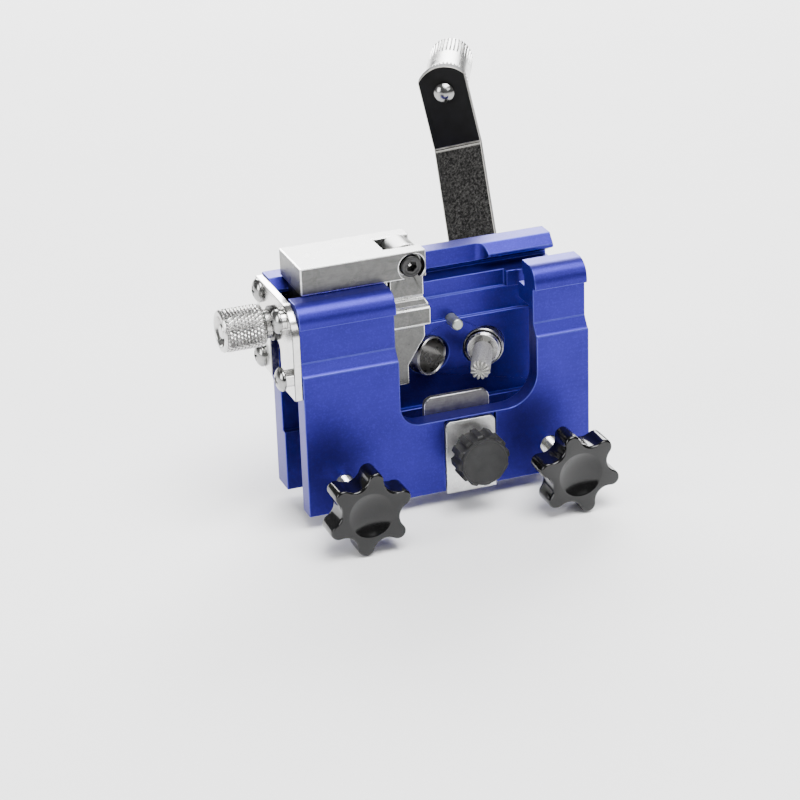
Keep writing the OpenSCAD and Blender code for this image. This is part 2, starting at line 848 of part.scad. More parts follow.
module height_plate() {
    corner = 1.6;
    x0 = centre_x - height_plate_w / 2;
    height = height_plate_top - height_plate_bottom;
    color("gainsboro") along_y(face_gap / 2, height_plate_t) difference() {
        union() {
            translate([x0, height_plate_bottom]) square([height_plate_w, height - corner]);
            translate([x0 + corner, height_plate_bottom]) square([height_plate_w - 2 * corner, height]);
            for (x = [x0 + corner, x0 + height_plate_w - corner])
                translate([x, height_plate_top - corner]) circle(corner);
        }
        translate([centre_x, centre_z]) circle(centre_screw_d / 2 + fit_gap);
    }
}

module chain_rest() {
    x0 = centre_x - rest_w / 2 - rest_shift;
    height = rest_z - rest_foot_z;
    color("#6e6c68") along_y(rest_front_y, rest_t) difference() {
        union() {
            translate([x0, rest_foot_z]) square([rest_w, height - rest_corner]);
            translate([x0 + rest_corner, rest_foot_z]) square([rest_w - 2 * rest_corner, height]);
            for (x = [x0 + rest_corner, x0 + rest_w - rest_corner])
                translate([x, rest_z - rest_corner]) circle(rest_corner);
        }
        translate([centre_x, centre_z]) circle(centre_screw_d / 2 + fit_gap);
    }
}

module centre_screw() {
    length = rest_back_y - screw_end_gap - centre_screw_y;
    color("silver") pin_y([centre_x, centre_screw_y, centre_z], centre_screw_d / 2, length);
}

module centre_knob() {
    r = centre_knob_d / 2;
    flute_r = r * 0.17;
    disc_r = r * 0.885;
    disc_t = 0.7;
    boss_r = r * 0.66;
    back = -face_gap;
    body_back = back - centre_boss_l;
    front = body_back - centre_knob_t + disc_t;
    color("#2a2a2c") difference() {
        union() {
            along_y(front, centre_knob_t - disc_t) translate([centre_x, centre_z]) difference() {
                circle(r);
                for (i = [0:centre_flutes - 1]) rotate(i * 360 / centre_flutes + centre_knob_turn)
                    translate([r + flute_r * 0.35, 0]) circle(flute_r);
            }
            pin_y([centre_x, front - disc_t, centre_z], disc_r, disc_t + eps);
            pin_y([centre_x, body_back - eps, centre_z], boss_r, centre_boss_l + eps);
        }
        pin_y([centre_x, centre_screw_y, centre_z], centre_screw_d / 2 + seat, 3 * centre_knob_t);
    }
}

module spindle() {
    chamfer = 0.5;
    stub_out = arm_out_t + crank_washer_t + crank_nut_t + 1;
    bore_r = shank_d / 2 + seat;
    color("silver") spindle_frame() difference() {
        union() {
            rotate_extrude() polygon([
                [0, nose_t],
                [spindle_r - chamfer, nose_t],
                [spindle_r, nose_t + chamfer],
                [spindle_r, thrust_t],
                [collar_out_r, thrust_t],
                [collar_out_r, arm_in_t],
                [stub_d / 2, arm_in_t],
                [stub_d / 2, stub_out - chamfer],
                [stub_d / 2 - chamfer, stub_out],
                [0, stub_out]
            ]);
            rotate([0, 0, -crank_lean]) translate([-square_w / 2, -square_w / 2, arm_in_t - eps])
                cube([square_w, square_w, arm_t - face_gap]);
        }
        translate([0, 0, nose_t - over]) cylinder(r = bore_r, h = shank_l + over);
        translate([0, 0, set_t]) rotate([90, 0, 0])
            cylinder(r = set_screw_r + seat, h = collar_out_r + over);
    }
}

module burr() {
    chamfer = 0.6;
    tip_t = nose_t - burr_l;
    shank_end = nose_t + shank_l - side_gap;
    r = burr_d / 2;
    color("#8a8883") spindle_frame() rotate_extrude() polygon([
        [0, tip_t],
        [r - chamfer, tip_t],
        [r, tip_t + chamfer],
        [r, nose_t - chamfer],
        [shank_d / 2, nose_t - face_gap],
        [shank_d / 2, shank_end],
        [0, shank_end]
    ]);
}

module burr_set_screw() {
    start = shank_d / 2 + seat;
    end = collar_out_r - side_gap;
    socket_depth = 1.2;
    color("#303030") spindle_frame() translate([0, 0, set_t]) rotate([90, 0, 0]) difference() {
        translate([0, 0, start]) cylinder(r = set_screw_r, h = end - start);
        translate([0, 0, end - socket_depth])
            cylinder(r = set_screw_r * 0.55, h = socket_depth + over, $fn = 6);
    }
}

// Side view of the bent strip: X up the arm, Y outwards
module arm_side() {
    end = grip_up + arm_end_up + over;
    polygon([
        [-arm_w / 2, 0],
        [arm_flat + mitre, 0],
        [arm_flat + leg_rise + mitre, leg_out],
        [end, leg_out],
        [end, leg_out + arm_t],
        [arm_flat + leg_rise - mitre, leg_out + arm_t],
        [arm_flat - mitre, arm_t],
        [-arm_w / 2, arm_t]
    ]);
}

// The arm's frame: -Y up the arm, +Z outwards from its inner face
module arm_frame() {
    spindle_frame() translate([0, 0, arm_in_t]) rotate([0, 0, -crank_lean]) children();
}

module crank_arm() {
    depth = leg_out + 2 * arm_t + over;
    hole_w = square_w + 2 * seat;
    color("#3a3a3a") arm_frame() difference() {
        intersection() {
            rotate([90, 0, -90]) linear_extrude(arm_w, center = true) arm_side();
            translate([0, 0, -over]) union() {
                cylinder(r = arm_w / 2, h = depth);
                translate([-arm_w / 2, -grip_up, 0]) cube([arm_w, grip_up, depth]);
                intersection() {
                    translate([0, arm_end_r - arm_end_up - grip_up, 0]) cylinder(r = arm_end_r, h = depth);
                    translate([-arm_w / 2, -grip_up - arm_end_r, 0])
                        cube([arm_w, arm_end_r + eps, depth]);
                }
            }
        }
        translate([-hole_w / 2, -hole_w / 2, -over]) cube([hole_w, hole_w, arm_t + 2 * over]);
        translate([0, -grip_up, leg_out - over]) cylinder(r = axle_d / 2 + fit_gap, h = arm_t + 2 * over);
    }
}

module crank_washer() {
    color("silver") spindle_frame() translate([0, 0, arm_out_t]) difference() {
        cylinder(r = stub_d, h = crank_washer_t);
        translate([0, 0, -over]) cylinder(r = stub_d / 2 + fit_gap, h = crank_washer_t + 2 * over);
    }
}

module crank_nut() {
    across_corners = stub_d * 0.92;
    color("silver") spindle_frame() translate([0, 0, arm_out_t + crank_washer_t]) difference() {
        cylinder(r = across_corners, h = crank_nut_t, $fn = 6);
        translate([0, 0, -over]) cylinder(r = stub_d / 2 + seat, h = crank_nut_t + 2 * over);
    }
}

// Frame of the handle: +Z outwards from the arm's outer face
module grip_frame() {
    arm_frame() translate([0, -grip_up, leg_out + arm_t]) children();
}

module handle_washer() {
    color("silver") grip_frame() difference() {
        cylinder(r = axle_d, h = handle_washer_t);
        translate([0, 0, -over]) cylinder(r = axle_d / 2 + fit_gap, h = handle_washer_t + 2 * over);
    }
}

module handle() {
    r = handle_d / 2;
    chamfer = 0.8;
    z0 = handle_washer_t + face_gap;
    z1 = z0 + handle_l;
    color("silver") grip_frame() rotate_extrude() polygon([
        [handle_bore_d / 2, z0],
        [r - chamfer, z0],
        [r, z0 + chamfer],
        [r, z1 - chamfer],
        [r - chamfer, z1],
        [axle_d + side_gap, z1],
        [axle_d + side_gap, z1 - head_recess],
        [handle_bore_d / 2, z1 - head_recess]
    ]);
}

module handle_screw() {
    head_z = handle_washer_t + face_gap + handle_l - head_recess + part_gap;
    head_h = 2.8;
    inner_z = -arm_t - dome_bore_l;
    color("silver") grip_frame() difference() {
        union() {
            translate([0, 0, inner_z]) cylinder(r = axle_d / 2, h = head_z - inner_z + eps);
            translate([0, 0, head_z]) cylinder(r = axle_d * 0.9, h = head_h);
        }
        translate([0, 0, head_z + head_h * 0.4]) cylinder(r = axle_d * 0.42, h = head_h, $fn = 6);
    }
}

module handle_dome_nut() {
    r = axle_d * 0.68;
    height = 2.5;
    color("silver") grip_frame() translate([0, 0, -arm_t]) rotate([180, 0, 0]) difference() {
        intersection() {
            translate([0, 0, height - r * 1.25]) sphere(r * 1.25);
            cylinder(r = r, h = height);
        }
        translate([0, 0, -over]) cylinder(r = axle_d / 2 + seat, h = dome_bore_l + seat + over);
    }
}

in_place() body();
in_place() end_plate();
in_place() end_plate_screws();
in_place() end_plate_spacers();
in_place() left_bushing();
in_place() right_bushing();
in_place() stop_pin();
in_place() slider_block();
in_place() pawl_pivot_screw();
in_place() pawl();
in_place() lead_screw();
in_place() adjuster_knob();
in_place() adjuster_collar();
in_place() adjuster_washer();
in_place() left_clamp_stud();
in_place() left_star_knob();
in_place() right_clamp_stud();
in_place() right_star_knob();
in_place() height_plate();
in_place() chain_rest();
in_place() centre_screw();
in_place() centre_knob();
in_place() spindle();
in_place() burr();
in_place() burr_set_screw();
in_place() crank_arm();
in_place() crank_washer();
in_place() crank_nut();
in_place() handle_screw();
in_place() handle_dome_nut();
in_place() handle_washer();
in_place() handle();
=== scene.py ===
import json
import math

import bmesh
import bpy
from mathutils import Matrix, Vector, noise


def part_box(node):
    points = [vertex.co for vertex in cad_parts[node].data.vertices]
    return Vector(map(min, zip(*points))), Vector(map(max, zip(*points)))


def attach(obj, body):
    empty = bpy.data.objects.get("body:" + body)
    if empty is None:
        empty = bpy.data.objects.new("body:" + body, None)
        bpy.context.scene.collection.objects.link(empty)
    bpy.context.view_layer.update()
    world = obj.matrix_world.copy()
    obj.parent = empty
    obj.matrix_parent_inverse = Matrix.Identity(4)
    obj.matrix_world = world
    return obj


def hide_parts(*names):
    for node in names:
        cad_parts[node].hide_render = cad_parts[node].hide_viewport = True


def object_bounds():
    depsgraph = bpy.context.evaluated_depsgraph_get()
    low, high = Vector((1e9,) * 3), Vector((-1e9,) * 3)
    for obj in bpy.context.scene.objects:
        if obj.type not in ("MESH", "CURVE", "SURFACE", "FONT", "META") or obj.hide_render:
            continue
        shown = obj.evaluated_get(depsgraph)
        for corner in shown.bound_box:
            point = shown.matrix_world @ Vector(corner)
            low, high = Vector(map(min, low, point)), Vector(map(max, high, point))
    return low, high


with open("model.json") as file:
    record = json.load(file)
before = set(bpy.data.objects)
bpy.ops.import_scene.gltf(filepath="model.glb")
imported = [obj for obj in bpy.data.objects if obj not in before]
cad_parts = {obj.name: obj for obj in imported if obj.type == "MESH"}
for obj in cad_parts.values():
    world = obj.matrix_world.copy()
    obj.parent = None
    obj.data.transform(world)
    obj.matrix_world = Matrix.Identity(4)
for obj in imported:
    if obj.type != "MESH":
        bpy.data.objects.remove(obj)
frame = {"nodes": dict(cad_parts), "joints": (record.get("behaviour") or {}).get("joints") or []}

cad_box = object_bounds()
nodes = frame["nodes"]
joints = {j["name"]: j for j in frame["joints"]}

# Pieces are drawn in millimetres and placed in a scene of metres
MM = 0.001
PER_METRE = 1000

BEVEL_ANGLE, SMOOTH_ANGLE, FLAT_ANGLE = 30, 34, 1.0
NO_RADIUS = 1e-6


# Meshes

def new_object(name, mesh):
    piece = bpy.data.objects.new(name, mesh)
    bpy.context.scene.collection.objects.link(piece)
    return piece


def apply_modifiers(piece):
    bpy.context.view_layer.update()
    graph = bpy.context.evaluated_depsgraph_get()
    mesh = bpy.data.meshes.new_from_object(
        piece.evaluated_get(graph), preserve_all_data_layers=True, depsgraph=graph)
    piece.modifiers.clear()
    piece.data = mesh


def soften(mesh, angle):
    """Smooth shading, apart from edges sharper than the angle in degrees."""
    mesh.polygons.foreach_set("use_smooth", [True] * len(mesh.polygons))
    mesh.set_sharp_from_angle(angle=math.radians(angle))


def axis_matrix(point, axis, turn=0.0):
    """Local Z along the axis and local -Y upwards; local lengths are millimetres."""
    z = Vector(axis).normalized()
    y = Vector((0, 0, -1))
    x = y.cross(z)
    seat = Matrix((x, y, z)).transposed().to_4x4()
    seat.translation = Vector(point)
    return seat @ Matrix.Scale(MM, 4) @ Matrix.Rotation(turn, 4, "Z")


def depth_matrix(joint, turn=0.0):
    """Local Z along the depth axis, through a joint; local heights are the CAD's Y."""
    x, _, z = joints[joint]["pos_m"]
    return axis_matrix((x, 0, z), (0, 1, 0), math.radians(turn))


def turns(count):
    return [2 * math.pi * i / count for i in range(count)]


def polar(radius, turn, z):
    return (radius * math.cos(turn), radius * math.sin(turn), z)


def ring(radius, z, sides):
    """A circle of points about local Z, or one point where the radius is nothing."""
    if radius < NO_RADIUS:
        return [(0, 0, z)]
    return [polar(radius, turn, z) for turn in turns(sides)]


def rounded(points, radius, steps):
    """A polyline with its corners rounded off."""
    longest_cut, straight = 0.48, math.radians(170)
    out = [Vector(points[0])]
    for last, here, following in zip(points, points[1:], points[2:]):
        here = Vector(here)
        before = Vector(last) - here
        after = Vector(following) - here
        if before.angle(after) > straight:
            out.append(here)
            continue
        off = min(radius, before.length * longest_cut, after.length * longest_cut)
        a = here + before.normalized() * off
        b = here + after.normalized() * off
        for s in range(steps + 1):
            t = s / steps
            out.append((1 - t) * (1 - t) * a + 2 * t * (1 - t) * here + t * t * b)
    out.append(Vector(points[-1]))
    return out


def skin(rows, caps=False):
    """Faces between rows of points; a row of one point is a pole."""
    bm = bmesh.new()
    rows = [[bm.verts.new(point) for point in row] for row in rows]
    for low, high in zip(rows, rows[1:]):
        count = max(len(low), len(high))
        for i in range(count):
            j = (i + 1) % count
            quad = (low[i % len(low)], low[j % len(low)], high[j % len(high)], high[i % len(high)])
            corners = list(dict.fromkeys(quad))
            if len(corners) > 2:
                bm.faces.new(corners)
    if caps:
        bm.faces.new(rows[0][::-1])
        bm.faces.new(rows[-1])
    bmesh.ops.recalc_face_normals(bm, faces=bm.faces)
    return bm


def turned(points, radius, steps, sides):
    """Rows along a profile of radius and height whose corners are rounded off."""
    return [ring(r, z, sides) for r, z in rounded(points, radius, steps)]


def lathe(profile, sides):
    """A profile of radius and height turned about local Z."""
    return skin([ring(r, z, sides) for r, z in profile])


def shaped_lathe(outline, rings, sides):
    """Rings of (inset from the outline or None, radius, height) about local Z."""
    rows = []
    for inset, radius, z in rings:
        if inset is None:
            rows.append(ring(radius, z, sides))
        else:
            rows.append([polar(outline(turn) - inset, turn, z) for turn in turns(sides)])
    return skin(rows)


def cut(bm, cutter):
    """The first mesh with the second one taken out of it."""
    made = []
    for name, source in (("cut_base", bm), ("cut_tool", cutter)):
        mesh = bpy.data.meshes.new(name)
        source.to_mesh(mesh)
        made.append(new_object(name, mesh))
    base, tool = made
    taking = base.modifiers.new("cut", "BOOLEAN")
    taking.operation = "DIFFERENCE"
    taking.object = tool
    taking.solver = "EXACT"
    apply_modifiers(base)
    result = bmesh.new()
    result.from_mesh(base.data)
    for piece in made:
        bpy.data.objects.remove(piece)
    return result


def helix_rod(radius, depth, pitch, z0, z1):
    """A threaded rod whose ends run out into plain tapers."""
    sides, steps_per_turn = 48, 6
    run_out = 0.8 * pitch
    tip = radius - depth * 1.3
    count = int((z1 - z0) / pitch * steps_per_turn)
    rows = [ring(0, z0, sides), ring(tip, z0, sides)]
    for k in range(count + 1):
        z = z0 + (z1 - z0) * k / count
        fade = min(1.0, (z - z0) / run_out, (z1 - z) / run_out)
        row = []
        for turn in turns(sides):
            phase = ((z - z0) / pitch - turn / (2 * math.pi)) % 1.0
            crest = min(1.0, max(0.0, abs(2 * phase - 1) * 1.35 - 0.15))
            row.append(polar(radius - depth * (1 - crest * fade), turn, z))
        rows.append(row)
    rows += [ring(tip, z1, sides), ring(0, z1, sides)]
    return skin(rows)


def knurl_rings(radius, depth, teeth, lead, z0, z1, fine):
    """Rings of a diamond knurl: pyramids between two crossing sets of grooves."""
    run_out, steepness = 0.35, 2.6
    rows = []
    count = int(round((z1 - z0) / lead * fine))
    for k in range(count + 1):
        z = z0 + (z1 - z0) * k / count
        fade = min(1.0, (z - z0) / run_out, (z1 - z) / run_out)
        row = []
        for i, turn in enumerate(turns(teeth * fine)):
            a = (i / fine + (z - z0) / lead) % 1.0
            b = (i / fine - (z - z0) / lead) % 1.0
            rise = min(1.0, steepness * min(a, 1 - a, b, 1 - b))
            row.append(polar(radius - depth * (1 - rise * fade), turn, z))
        rows.append(row)
    return rows


def groove_rings(radius, depth, count, fine, z0, z1):
    """Rings of a straight knurl: rounded ridges with narrow grooves between them."""
    groove_half = 0.24
    starts = ((z0, 0.0), (z0 + 0.25, 0.8), (z0 + 0.4, 1.0))
    ends = ((z1 - 0.4, 1.0), (z1 - 0.25, 0.8), (z1, 0.0))
    rows = []
    for z, fade in starts + ends:
        row = []
        for i, turn in enumerate(turns(count * fine)):
            off_centre = abs(i / fine % 1.0 - 0.5)
            dip = max(0.0, 1 - off_centre / groove_half)
            row.append(polar(radius - depth * fade * dip, turn, z))
        rows.append(row)
    return rows


# Materials

def colour(value, factor):
    return tuple(min(1.0, part * factor) for part in value) + (1.0,)


class Shader:
    """A Principled material with object coordinates in millimetres."""

    MIX_A, MIX_B, MIX_RESULT = 6, 7, 2

    def __init__(self, name):
        self.material = bpy.data.materials.new(name)
        self.material.use_nodes = True
        self.tree = self.material.node_tree
        self.bsdf = self.tree.nodes["Principled BSDF"]
        self.coords = self.add("ShaderNodeTexCoord").outputs["Object"]

    def add(self, kind, **values):
        node = self.tree.nodes.new(kind)
        for key, value in values.items():
            setattr(node, key, value)
        return node

    def link(self, source, target):
        self.tree.links.new(source, target)

    def millimetres(self, stretch=(1, 1, 1)):
        mapping = self.add("ShaderNodeMapping")
        mapping.inputs["Scale"].default_value = [PER_METRE * s for s in stretch]
        self.link(self.coords, mapping.inputs["Vector"])
        return mapping.outputs["Vector"]

    def noise(self, scale, stretch=(1, 1, 1), detail=5.0, rough=0.55, distortion=0.0):
        place = self.millimetres(stretch)
        tex = self.add("ShaderNodeTexNoise")
        tex.inputs["Scale"].default_value = scale
        tex.inputs["Detail"].default_value = detail
        tex.inputs["Roughness"].default_value = rough
        tex.inputs["Distortion"].default_value = distortion
        self.link(place, tex.inputs["Vector"])
        return tex.outputs["Fac"]

    def cells(self, scale):
        place = self.millimetres()
        tex = self.add("ShaderNodeTexVoronoi", feature="F1")
        tex.inputs["Scale"].default_value = scale
        self.link(place, tex.inputs["Vector"])
        return tex.outputs["Distance"]

    def along(self, direction):
        """Distance from the origin along a direction, in metres."""
        node = self.add("ShaderNodeVectorMath", operation="DOT_PRODUCT")
        self.link(self.coords, node.inputs[0])
        node.inputs[1].default_value = direction
        return node.outputs["Value"]

    def span(self, value, a, b, low, high):
        """A value between a and b mapped to low and high, and held outside them."""
        node = self.add("ShaderNodeMapRange")
        self.link(value, node.inputs["Value"])
        node.inputs["From Min"].default_value = a
        node.inputs["From Max"].default_value = b
        node.inputs["To Min"].default_value = low
        node.inputs["To Max"].default_value = high
        return node.outputs["Result"]

    def product(self, a, b):
        node = self.add("ShaderNodeMath", operation="MULTIPLY")
        self.link(a, node.inputs[0])
        self.link(b, node.inputs[1])
        return node.outputs["Value"]

    def blend(self, factor, a, b):
        node = self.add("ShaderNodeMix", data_type="RGBA")
        self.link(factor, node.inputs["Factor"])
        for index, value in ((self.MIX_A, a), (self.MIX_B, b)):
            if isinstance(value, tuple):
                node.inputs[index].default_value = value
            else:
                self.link(value, node.inputs[index])
        return node.outputs[self.MIX_RESULT]

    def bump(self, layers):
        """Layers of (height, strength, distance in millimetres), one on another."""
        last = None
        for height, strength, distance in layers:
            node = self.add("ShaderNodeBump")
            node.inputs["Strength"].default_value = strength
            node.inputs["Distance"].default_value = distance * MM
            self.link(height, node.inputs["Height"])
            if last:
                self.link(last, node.inputs["Normal"])
            last = node.outputs["Normal"]
        self.link(last, self.bsdf.inputs["Normal"])

    def set(self, **values):
        for key, value in values.items():
            socket = self.bsdf.inputs[key.replace("_", " ")]
            if isinstance(value, (int, float, tuple)):
                socket.default_value = value
            else:
                self.link(value, socket)
        return self.material


def anodised(name, base, worn=0.0):
    """Blasted and anodised aluminium: a fine sparkle over faint extrusion lines."""
    rubbed_and_lit_blue = (0.2, 0.24, 0.75, 1)
    s = Shader(name)
    sparkle = s.noise(2.3, detail=2.0, rough=0.6)
    grain = s.noise(5.0, detail=4.0, rough=0.65)
    cloud = s.noise(0.12, detail=4.0)
    lines = s.noise(1.2, stretch=(0.03, 1, 1), detail=6.0)
    tint = s.blend(s.span(cloud, 0.35, 0.65, 0.0, 1.0), colour(base, 0.92), colour(base, 1.1))
    tint = s.blend(s.span(lines, 0.4, 0.7, 0.0, 0.3), tint, colour(base, 1.35))
    tint = s.blend(s.span(sparkle, 0.5, 0.68, 0.0, 0.45), tint, colour(base, 1.7))
    # On the edge material the rubbed blue is partly wear and partly painted highlight
    if worn:
        tint = s.blend(s.span(grain, 0.3, 0.6, worn * 0.6, worn), tint, rubbed_and_lit_blue)
    s.bump([(grain, 0.6, 0.025), (sparkle, 0.35, 0.04), (lines, 0.15, 0.02)])
    return s.set(Base_Color=tint, Metallic=0.8, Roughness=s.span(grain, 0.3, 0.7, 0.28, 0.44))


def metal(name, base, rough, vary=0.08, lines=(1, 1, 1), line_scale=3.0, line_depth=0.25,
          patches=0.1, spots=0.0, grooves=0.0, metallic=1.0, grain_dark=0.62):
    """Bare or plated metal with grain, cloudy patches, dark spots, and painted shade in its
    grooves.
    """
    groove_shade = (0.02, 0.02, 0.02, 1)
    s = Shader(name)
    grain = s.noise(line_scale, stretch=lines, detail=7.0, rough=0.65)
    cloud = s.noise(0.35, detail=5.0, distortion=0.6)
    fine = s.noise(14.0, detail=2.0)
    tint = s.blend(s.span(cloud, 0.35, 0.65, 0.0, 1.0),
                   colour(base, 1 - patches), colour(base, 1 + patches))
    tint = s.blend(s.span(grain, 0.35, 0.62, 0.35, 0.0), tint, colour(base, grain_dark))
    if spots:
        pits = s.span(s.noise(2.6, detail=4.0, rough=0.7), 0.6, 0.7, 0.0, spots)
        tint = s.blend(pits, tint, colour(base, 0.35))
    if grooves:
        # Concave places are darkened: painted shade in the grooves
        hollow = s.add("ShaderNodeNewGeometry").outputs["Pointiness"]
        tint = s.blend(s.span(hollow, 0.42, 0.5, grooves, 0.0), tint, groove_shade)
    s.bump([(grain, line_depth, 0.03), (fine, 0.08, 0.015)])
    sheen = s.span(cloud, 0.3, 0.7, rough - vary, rough + vary)
    return s.set(Base_Color=tint, Metallic=metallic, Roughness=sheen)


def plastic(name, base, rough, coat, bump, scale=6.0, specular=0.3):
    s = Shader(name)
    grain = s.noise(scale, detail=4.0)
    cloud = s.noise(0.25, detail=3.0)
    tint = s.blend(s.span(cloud, 0.35, 0.65, 0.0, 1.0), colour(base, 0.8), colour(base, 1.3))
    s.bump([(grain, bump, 0.03)])
    return s.set(Base_Color=tint, Roughness=s.span(grain, 0.3, 0.7, rough * 0.85, rough * 1.2),
                 Coat_Weight=coat, Coat_Roughness=0.12, Specular_IOR_Level=specular)


def black_arm(name, direction, bend):
    """Smooth black above the bend; below it, black rubbed to a grey speckle."""
    black, soft_black = (0.002, 0.002, 0.002, 1), (0.004, 0.004, 0.0045, 1)
    speckle_black, speckle_grey = (0.003, 0.003, 0.003, 1), (0.085, 0.083, 0.079, 1)
    bare_fold = (0.4, 0.39, 0.36, 1)
    s = Shader(name)
    speck = s.noise(1.9, stretch=(1.0, 1.0, 0.6), detail=8.0, rough=0.75)
    fine = s.noise(6.0, detail=5.0, rough=0.7)
    cloud = s.noise(0.25, detail=3.0)
    height = s.along(direction)
    below = s.span(height, bend - 0.1 * MM, bend + 0.1 * MM, 1.0, 0.0)
    fold = s.product(s.span(height, bend - 0.4 * MM, bend, 0.0, 1.0),
                     s.span(height, bend, bend + 0.2 * MM, 1.0, 0.0))
    plain = s.blend(s.span(cloud, 0.35, 0.65, 0.0, 1.0), black, soft_black)
    rubbed = s.product(s.span(speck, 0.44, 0.66, 0.0, 1.0), s.span(fine, 0.35, 0.65, 0.2, 1.0))
    worn = s.blend(rubbed, speckle_black, speckle_grey)
    tint = s.blend(below, plain, worn)
    tint = s.blend(s.product(fold, s.span(fine, 0.4, 0.6, 0.4, 1.0)), tint, bare_fold)
    s.bump([(speck, 0.25, 0.03), (fine, 0.2, 0.02)])
    return s.set(Base_Color=tint, Metallic=s.span(below, 0.0, 1.0, 0.0, 0.5),
                 Roughness=s.span(below, 0.0, 1.0, 0.4, 0.55), Specular_IOR_Level=0.12)


def gritty(name):
    """Steel plated with coarse grit: bright grains with dark gaps between them."""
    grain, gap, glint = (0.62, 0.615, 0.585, 1), (0.16, 0.158, 0.148, 1), (0.85, 0.84, 0.8, 1)
    s = Shader(name)
    cell = s.cells(4.5)
    fine = s.noise(9.0, detail=6.0, rough=0.7)
    tint = s.blend(s.span(cell, 0.1, 0.6, 0.0, 1.0), grain, gap)
    tint = s.blend(s.span(fine, 0.45, 0.65, 0.0, 0.6), tint, glint)
    s.bump([(cell, 0.9, 0.08), (fine, 0.5, 0.03)])
    return s.set(Base_Color=tint, Metallic=0.7, Roughness=s.span(fine, 0.3, 0.7, 0.38, 0.6))


BLUE = anodised("anodised_blue", (0.0175, 0.0122, 0.185))
# The body's broken edges are a lighter blue: partly rubbed wear, partly painted highlight where the
# edges catch the light
BLUE_WORN_LIT_EDGE = anodised("anodised_edge_wear_and_highlight", (0.027, 0.024, 0.26), worn=0.16)
BRIGHT = metal("bright_plate", (0.74, 0.735, 0.72), 0.2, line_scale=1.6, line_depth=0.15)
FASTENER = metal("plated_screw", (0.3, 0.3, 0.295), 0.2, line_scale=2.2, patches=0.2, spots=0.2)
PLATE = metal("plain_plate", (0.9, 0.9, 0.89), 0.44, line_scale=2.0, line_depth=0.3, spots=0.2)
# Milled silver for the sides, and below it a lighter copy for the upper faces: painted light from
# above
MILLED = metal("milled_silver", (0.125, 0.125, 0.1225), 0.36, vary=0.1, lines=(0.12, 1, 1),
               line_scale=2.2, line_depth=0.5, patches=0.22, spots=0.5, grain_dark=0.45)
MILLED_LIT_TOP = metal("milled_top_painted_light", (0.32, 0.32, 0.316), 0.32, vary=0.07, lines=(0.12, 1, 1),
                   line_scale=2.6, line_depth=0.3, patches=0.15, spots=0.2)
# Broken edges of the silver pieces are painted near white: painted highlight where the edges catch
# the light
MILLED_EDGE_HIGHLIGHT = metal("milled_edge_painted_highlight", (0.85, 0.85, 0.84), 0.3, line_depth=0.1)
SATIN = metal("satin_silver", (0.13, 0.13, 0.1265), 0.38, vary=0.12, line_scale=1.8,
              line_depth=0.6, patches=0.25, spots=0.7, grain_dark=0.45)
PIN = metal("zinc_pin", (0.44, 0.475, 0.44), 0.4, vary=0.12, line_depth=0.5, patches=0.3,
            spots=0.7, metallic=0.85)
# The knurl's grooves are darkened as painted shade
KNURLED = metal("knurled_silver", (0.6, 0.595, 0.585), 0.24, vary=0.06, line_depth=0.1,
                patches=0.06, grooves=0.9)
DARK = metal("dark_steel", (0.2, 0.198, 0.195), 0.28, line_scale=2.6, line_depth=0.15, patches=0.15)
NOSE = metal("spindle_steel", (0.34, 0.335, 0.33), 0.26, line_scale=2.6, line_depth=0.2,
             patches=0.3, spots=0.3)
BLACKED = metal("black_oxide", (0.05, 0.05, 0.05), 0.34, line_depth=0.15, patches=0.2)
DULL = metal("dull_steel", (0.18, 0.176, 0.168), 0.46, lines=(0.15, 1, 1), line_scale=2.8,
             line_depth=0.35, patches=0.2, spots=0.4)
GLOSS = plastic("gloss_black", (0.0015, 0.0015, 0.0017), 0.16, 0.2, 0.08, specular=0.35)
MATTE = plastic("matte_black", (0.016, 0.016, 0.0165), 0.5, 0.0, 0.3, scale=5.0)
ARM_EDGE = metal("arm_edge", (0.3, 0.29, 0.27), 0.4, line_depth=0.2, patches=0.2)
GRIT = gritty("cutter_grit")

# The arm's finish changes at its upper bend, which lies below the handle's axis
BEND_BELOW_GRIP = 15.6 * MM
crank_axis = Vector(joints["crank_spin"]["axis"]).normalized()
grip_point = Vector(joints["handle_spin"]["pos_m"])
arm_up = grip_point - Vector(joints["crank_spin"]["pos_m"])
arm_up = (arm_up - arm_up.dot(crank_axis) * crank_axis).normalized()
ARM_BLACK = black_arm("crank_black", arm_up, grip_point.dot(arm_up) - BEND_BELOW_GRIP)


# Pieces

def place(name, bm, matrix, body, material, slot, replaced=(), angle=SMOOTH_ANGLE, recess_shade=None):
    """A new mesh in the row frame, riding on its body."""
    mesh = bpy.data.meshes.new(name)
    bm.to_mesh(mesh)
    bm.free()
    mesh.transform(matrix)
    if matrix.determinant() < 0:
        mesh.flip_normals()
    soften(mesh, angle)
    mesh.materials.append(material)
    if recess_shade:
        mesh.materials.append(recess_shade)
    piece = new_object(name, mesh)
    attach(piece, body)
    if replaced:
        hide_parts(*replaced)


def merge_flats(bm, **limits):
    bmesh.ops.dissolve_limit(
        bm, angle_limit=math.radians(FLAT_ANGLE), verts=bm.verts, edges=bm.edges, **limits)


